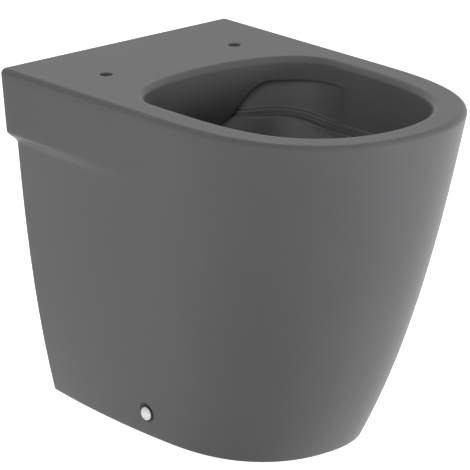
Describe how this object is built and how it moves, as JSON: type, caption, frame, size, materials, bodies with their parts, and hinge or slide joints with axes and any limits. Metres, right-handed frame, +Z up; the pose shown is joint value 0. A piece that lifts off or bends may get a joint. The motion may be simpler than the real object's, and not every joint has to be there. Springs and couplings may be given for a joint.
{
  "type": "back-to-wall toilet pan",
  "caption": "Rimless back-to-wall WC pan in matt dark glaze: tapered skirt, open bowl with flush gallery, seat holes, rear flush inlet and outlet, hidden floor fixings.",
  "frame": {"origin": "on the floor under the middle of the pan", "axes": "+Z up, +Y towards the wall, front of the rim at -Y"},
  "size_m": [0.354, 0.527, 0.42],
  "materials": {
    "glaze": "matt anthracite glaze",
    "rubber": "moulded black rubber",
    "nylon": "moulded off-white nylon",
    "steel": "stainless steel, as turned",
    "chrome": "satin chrome plate"
  },
  "bodies": {
    "pan": {"pan": "glaze", "flush_inlet_seal": "rubber", "outlet_seal": "rubber", "floor_bracket_left": "nylon", "floor_washer_left": "steel", "floor_screw_left": "steel", "side_bush_left": "nylon", "side_screw_left": "steel", "floor_bracket_right": "nylon", "floor_washer_right": "steel", "floor_screw_right": "steel", "side_bush_right": "nylon", "side_screw_right": "steel"},
    "cap_left": {"screw_cap_left": "chrome"},
    "cap_right": {"screw_cap_right": "chrome"}
  },
  "joints": [
    {"name": "screw_cap_left_pull", "type": "slide", "parent": "pan", "child": "cap_left", "axis": [-1, 0, 0], "range_m": [0, 0.014]},
    {"name": "screw_cap_right_pull", "type": "slide", "parent": "pan", "child": "cap_right", "axis": [1, 0, 0], "range_m": [0, 0.014]}
  ]
}
